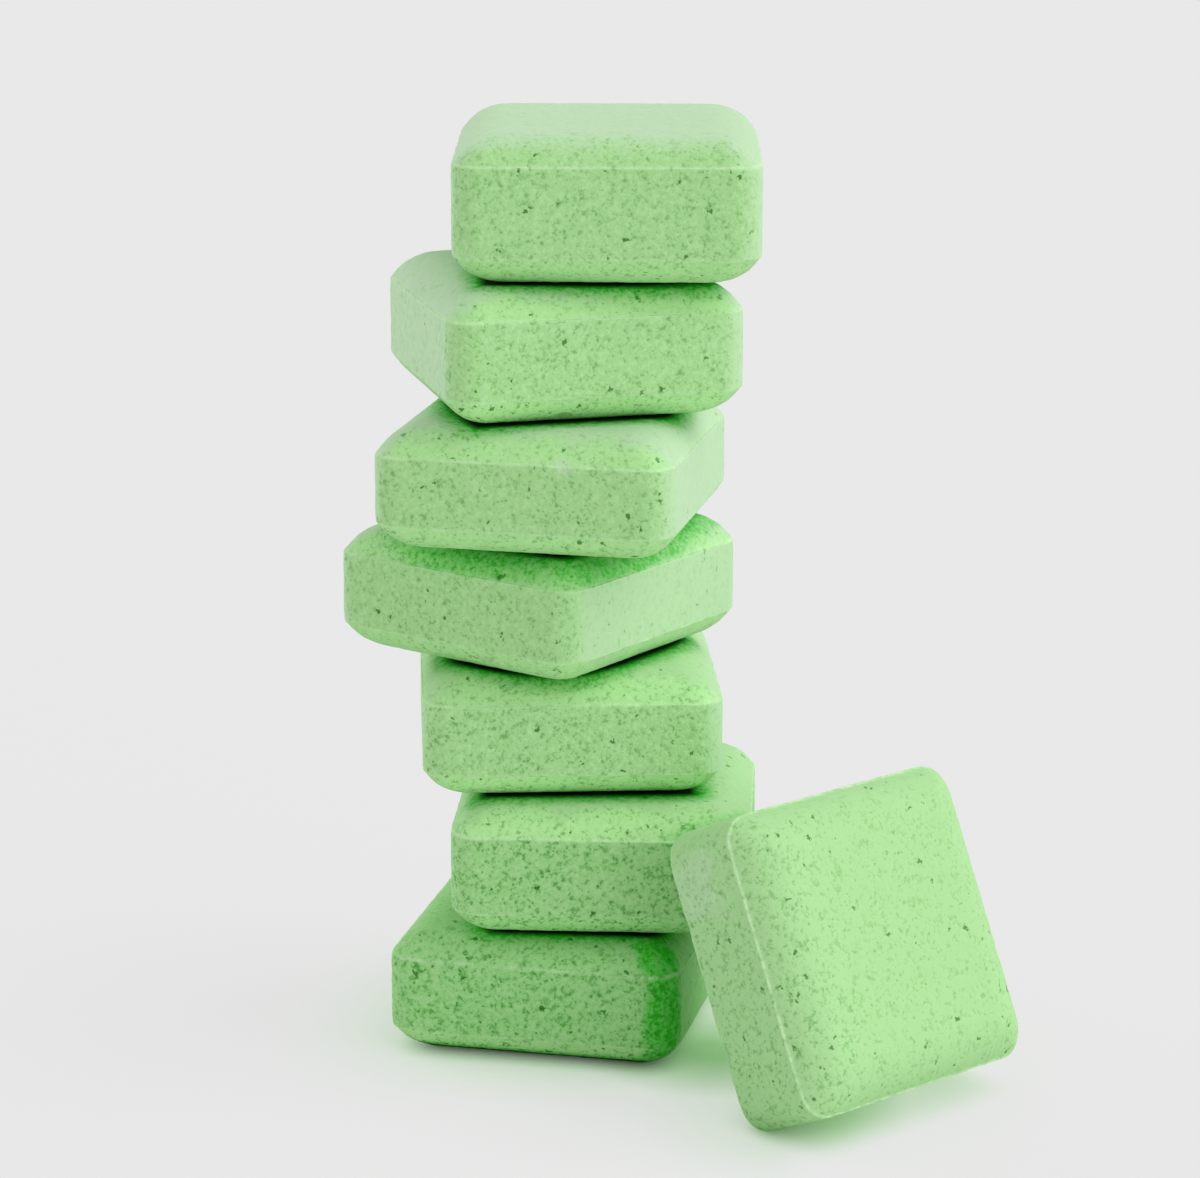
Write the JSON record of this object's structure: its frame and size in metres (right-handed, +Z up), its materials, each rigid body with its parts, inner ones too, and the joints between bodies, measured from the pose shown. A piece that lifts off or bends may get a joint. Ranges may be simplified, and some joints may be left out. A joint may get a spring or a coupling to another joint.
{
  "type": "pack of shower steamers",
  "caption": "Hand-built stack of square pressed-powder shower steamers with domed faces and softened corners, and a further tablet leaning on the stack.",
  "frame": {"origin": "middle of the bottom tablet's base, on the surface that the pack stands on", "axes": "+Z up through the stack; +X to the right and +Y to the back as the pack is seen from its front, with the leaning tablet at the front right"},
  "size_m": [0.0947, 0.0849, 0.1314],
  "materials": {
    "pressed_powder": "matt, fine-grained pressed powder in pale mint green with darker green specks and small pits"
  },
  "bodies": {
    "root": {"bottom_tablet": "pressed_powder", "second_tablet": "pressed_powder", "third_tablet": "pressed_powder", "fourth_tablet": "pressed_powder", "fifth_tablet": "pressed_powder", "sixth_tablet": "pressed_powder", "top_tablet": "pressed_powder", "leaning_tablet": "pressed_powder"}
  },
  "joints": []
}
